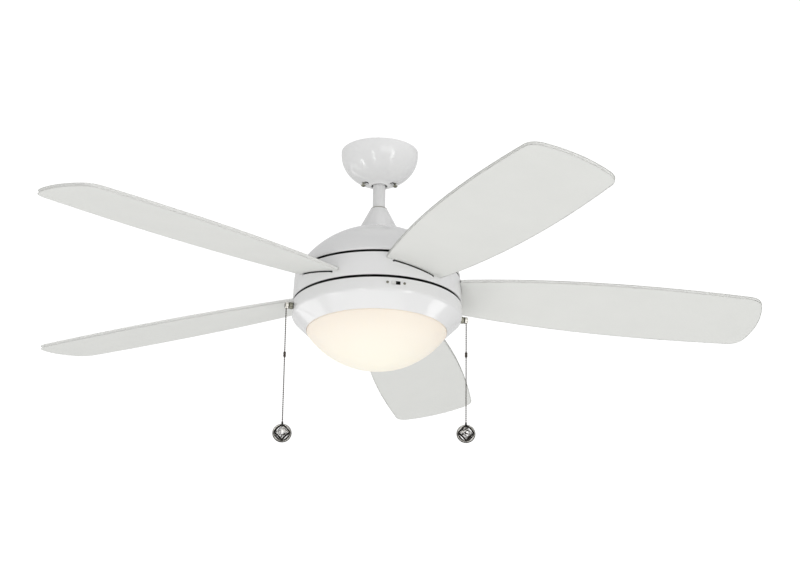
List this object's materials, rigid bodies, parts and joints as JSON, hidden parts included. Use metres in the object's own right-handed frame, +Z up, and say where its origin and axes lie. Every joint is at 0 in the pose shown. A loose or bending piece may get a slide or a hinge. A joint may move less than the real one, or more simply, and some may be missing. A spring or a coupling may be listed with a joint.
{
  "type": "ceiling fan with light",
  "caption": "Ceiling fan with pitched white blades on a domed motor housing, an opal glass bowl light below, and pull chains with round fobs.",
  "frame": {"origin": "on the fan's axis at the ceiling, on the top face of the hanger bracket", "axes": "+Z up along the fan's axis, +X along the bracket's length"},
  "size_m": [1.2519, 1.2666, 0.5318],
  "materials": {
    "white_paint": "gloss white enamel on spun and pressed steel",
    "white_blade": "fibreboard with a matt white lacquer",
    "opal_glass": "etched opal white glass, warm when lit",
    "nickel": "brushed nickel plate",
    "zinc_steel": "zinc plated steel",
    "black_plastic": "black phenolic",
    "nylon": "natural nylon",
    "cast_aluminium": "as cast",
    "laminated_steel": "varnished laminations",
    "copper_winding": "enamelled copper wire",
    "white_knob": "moulded white plastic",
    "lamp_porcelain": "glazed porcelain",
    "lamp_glass": "frosted lamp glass"
  },
  "bodies": {
    "ceiling": {"hanger_bracket": "zinc_steel", "canopy": "white_paint", "canopy_screws": "nickel"},
    "seat": {"hanger_seat": "nylon"},
    "motor": {"hanger_ball": "zinc_steel", "downrod": "white_paint", "hanger_pin": "zinc_steel", "set_screws": "zinc_steel", "motor_yoke": "zinc_steel", "yoke_pin": "zinc_steel", "coupling_cover": "white_paint", "motor_shaft": "zinc_steel", "stator_core": "laminated_steel", "stator_windings": "copper_winding", "bearing_inner_races": "zinc_steel", "upper_housing": "white_paint", "housing_screws": "zinc_steel", "switch_plate": "zinc_steel", "light_pan": "white_paint", "pan_screws": "zinc_steel", "reverse_switch": "black_plastic", "reverse_switch_screws": "nickel", "pull_switches": "black_plastic", "capacitor": "black_plastic", "chain_nipples": "nickel", "lamp_plate": "white_paint", "lamp_sockets": "lamp_porcelain", "lamp_bulbs": "lamp_glass", "supply_wires": "black_plastic"},
    "rotor": {"rotor_upper_cover": "cast_aluminium", "rotor_core": "laminated_steel", "rotor_lower_cover": "cast_aluminium", "bearing_outer_races": "zinc_steel", "bearing_balls": "zinc_steel", "blade_ring": "white_paint", "blade_screws": "zinc_steel", "plate_screws": "zinc_steel", "blade_plate_1": "zinc_steel", "blade_plate_2": "zinc_steel", "blade_plate_3": "zinc_steel", "blade_plate_4": "zinc_steel", "blade_plate_5": "zinc_steel", "blade_1": "white_blade", "blade_2": "white_blade", "blade_3": "white_blade", "blade_4": "white_blade", "blade_5": "white_blade"},
    "reverse": {"reverse_knob": "white_knob"},
    "bowl": {"glass_bowl": "opal_glass", "bowl_collar": "zinc_steel"},
    "fan_pull": {"fan_chain_stub": "nickel"},
    "fan_pendant": {"fan_chain_upper": "nickel", "fan_chain_connector": "nickel", "fan_chain_lower": "nickel", "fan_fob": "nickel"},
    "light_pull": {"light_chain_stub": "nickel"},
    "light_pendant": {"light_chain_upper": "nickel", "light_chain_connector": "nickel", "light_chain_lower": "nickel", "light_fob": "nickel"}
  },
  "joints": [
    {"name": "sway_about_x", "type": "hinge", "parent": "ceiling", "child": "seat", "pos_m": [0, 0, -0.03], "axis": [1, 0, 0], "range_deg": [-3, 3]},
    {"name": "sway_about_y", "type": "hinge", "parent": "seat", "child": "motor", "pos_m": [0, 0, -0.03], "axis": [0, 1, 0], "range_deg": [-3, 3]},
    {"name": "rotor_spin", "type": "hinge", "parent": "motor", "child": "rotor", "pos_m": [0, 0, -0.255], "axis": [0, 0, 1], "continuous": true},
    {"name": "reverse_slide", "type": "slide", "parent": "motor", "child": "reverse", "axis": [0.981, 0.1942, 0], "range_m": [0, 0.007]},
    {"name": "bowl_twist", "type": "hinge", "parent": "motor", "child": "bowl", "pos_m": [0, 0, -0.33], "axis": [0, 0, 1], "range_deg": [0, 25]},
    {"name": "fan_chain_pull", "type": "slide", "parent": "motor", "child": "fan_pull", "axis": [0, 0, -1], "range_m": [0, 0.008], "stiffness_N_per_m": 400, "springref_m": -0.008},
    {"name": "fan_chain_swing", "type": "hinge", "parent": "fan_pull", "child": "fan_pendant", "pos_m": [-0.152, -0.0275, -0.2999], "axis": [-0.178, 0.984, 0], "range_deg": [-20, 20]},
    {"name": "light_chain_pull", "type": "slide", "parent": "motor", "child": "light_pull", "axis": [0, 0, -1], "range_m": [0, 0.008], "stiffness_N_per_m": 400, "springref_m": -0.008},
    {"name": "light_chain_swing", "type": "hinge", "parent": "light_pull", "child": "light_pendant", "pos_m": [0.152, 0.0275, -0.2999], "axis": [-0.178, 0.984, 0], "range_deg": [-20, 20]}
  ]
}
